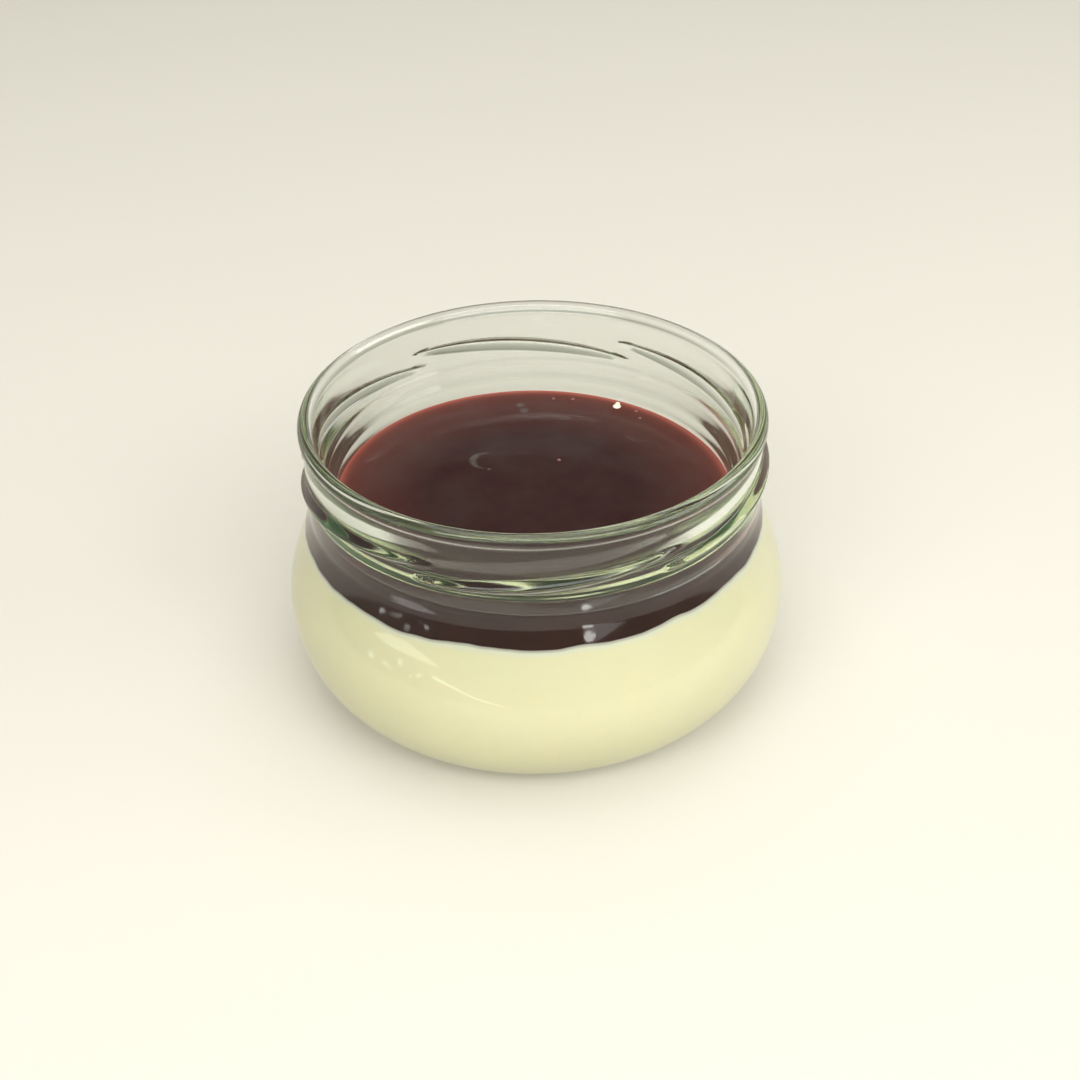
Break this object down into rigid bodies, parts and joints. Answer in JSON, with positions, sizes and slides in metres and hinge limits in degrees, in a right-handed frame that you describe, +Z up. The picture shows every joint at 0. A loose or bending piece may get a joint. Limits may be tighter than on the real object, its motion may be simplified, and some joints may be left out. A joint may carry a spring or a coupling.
{
  "type": "panna cotta in a glass jar",
  "caption": "Low round-bellied clear glass jar with a lugged twist-off neck, filled with pale set cream under a dark red berry sauce.",
  "frame": {"origin": "centre of the jar's bearing ring, on the surface that it stands on", "axes": "+Z up along the jar's axis; -Y is the front, and the front lug climbs towards +X"},
  "size_m": [0.088, 0.088, 0.053],
  "materials": {
    "glass": "clear soda-lime container glass with a faint green cast, fire-polished",
    "cream": "smooth pale yellow set cream, slightly translucent, wet against the glass",
    "sauce": "dark red-brown jellied berry sauce, glossy, bright red where it thins at its edge"
  },
  "bodies": {
    "root": {"jar": "glass", "panna_cotta": "cream", "berry_sauce": "sauce"}
  },
  "joints": []
}
